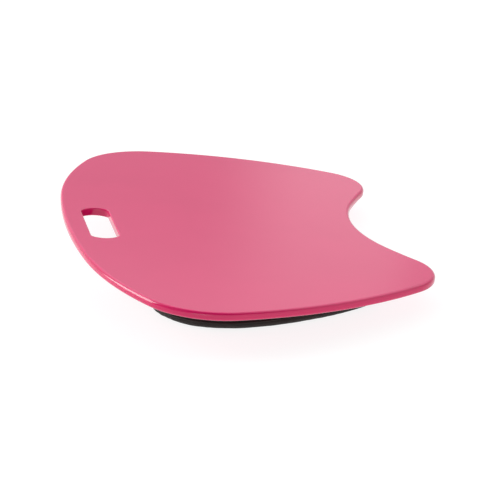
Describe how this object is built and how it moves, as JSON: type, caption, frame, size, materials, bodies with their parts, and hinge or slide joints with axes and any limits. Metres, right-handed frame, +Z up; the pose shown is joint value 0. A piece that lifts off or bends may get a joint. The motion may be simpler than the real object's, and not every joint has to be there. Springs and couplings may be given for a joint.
{
  "type": "lap desk",
  "caption": "Glossy pink lap desk board with a carry slot and waist hollow, held by hook-and-loop on a black wedge bead cushion with a zip",
  "frame": {"origin": "on the surface the cushion rests on, under the middle of the board's width and depth", "axes": "+X to the user's right, +Y away from the user towards the carry slot, +Z up; the board slopes 4.1 degrees down towards the user"},
  "size_m": [0.58, 0.375, 0.0552],
  "materials": {
    "board_lacquer": "gloss raspberry-pink lacquer on fibreboard",
    "cushion_fabric": "black woven polyester, matt with a slight sheen",
    "liner_fabric": "thin off-white woven liner",
    "bead_fill": "expanded polystyrene beads",
    "hook_strip": "black hook tape with rows of small nylon hooks",
    "loop_strip": "black brushed loop tape",
    "zip_tape": "black woven zip tape",
    "zip_coil": "black nylon coil",
    "zip_metal": "nickel-plated zinc, satin",
    "label_fabric": "plain white satin ribbon, blank"
  },
  "bodies": {
    "cushion": {"cover_bottom_panel": "cushion_fabric", "cover_side_band": "cushion_fabric", "cover_top_panel": "cushion_fabric", "liner_lower": "liner_fabric", "liner_upper": "liner_fabric", "bead_fill": "bead_fill", "care_label": "label_fabric", "zip_panel_lower": "cushion_fabric", "zip_panel_upper": "cushion_fabric", "zip_tape_lower": "zip_tape", "zip_tape_upper": "zip_tape", "zip_coil_lower": "zip_coil", "zip_coil_upper": "zip_coil", "zip_top_stop_lower": "zip_metal", "zip_top_stop_upper": "zip_metal", "zip_bottom_stop": "zip_metal", "loop_strip_rear_left": "loop_strip", "loop_strip_rear_middle": "loop_strip", "loop_strip_rear_right": "loop_strip", "loop_strip_front_left": "loop_strip", "loop_strip_front_middle": "loop_strip", "loop_strip_front_right": "loop_strip"},
    "tray": {"board": "board_lacquer", "hook_strip_rear_left": "hook_strip", "hook_strip_rear_middle": "hook_strip", "hook_strip_rear_right": "hook_strip", "hook_strip_front_left": "hook_strip", "hook_strip_front_middle": "hook_strip", "hook_strip_front_right": "hook_strip"},
    "slider": {"zip_slider": "zip_metal"},
    "pull": {"zip_pull": "zip_metal"}
  },
  "joints": [
    {"name": "board_peel", "type": "slide", "parent": "cushion", "child": "tray", "axis": [0, -0.0715, 0.9974], "range_m": [0, 0.08]},
    {"name": "zip_slide", "type": "slide", "parent": "cushion", "child": "slider", "axis": [-1, 0, 0], "range_m": [0, 0.222]},
    {"name": "pull_hinge", "type": "hinge", "parent": "slider", "child": "pull", "pos_m": [0.1112, 0.1208, 0.025], "axis": [0, 0, -1], "range_deg": [0, 170]}
  ]
}
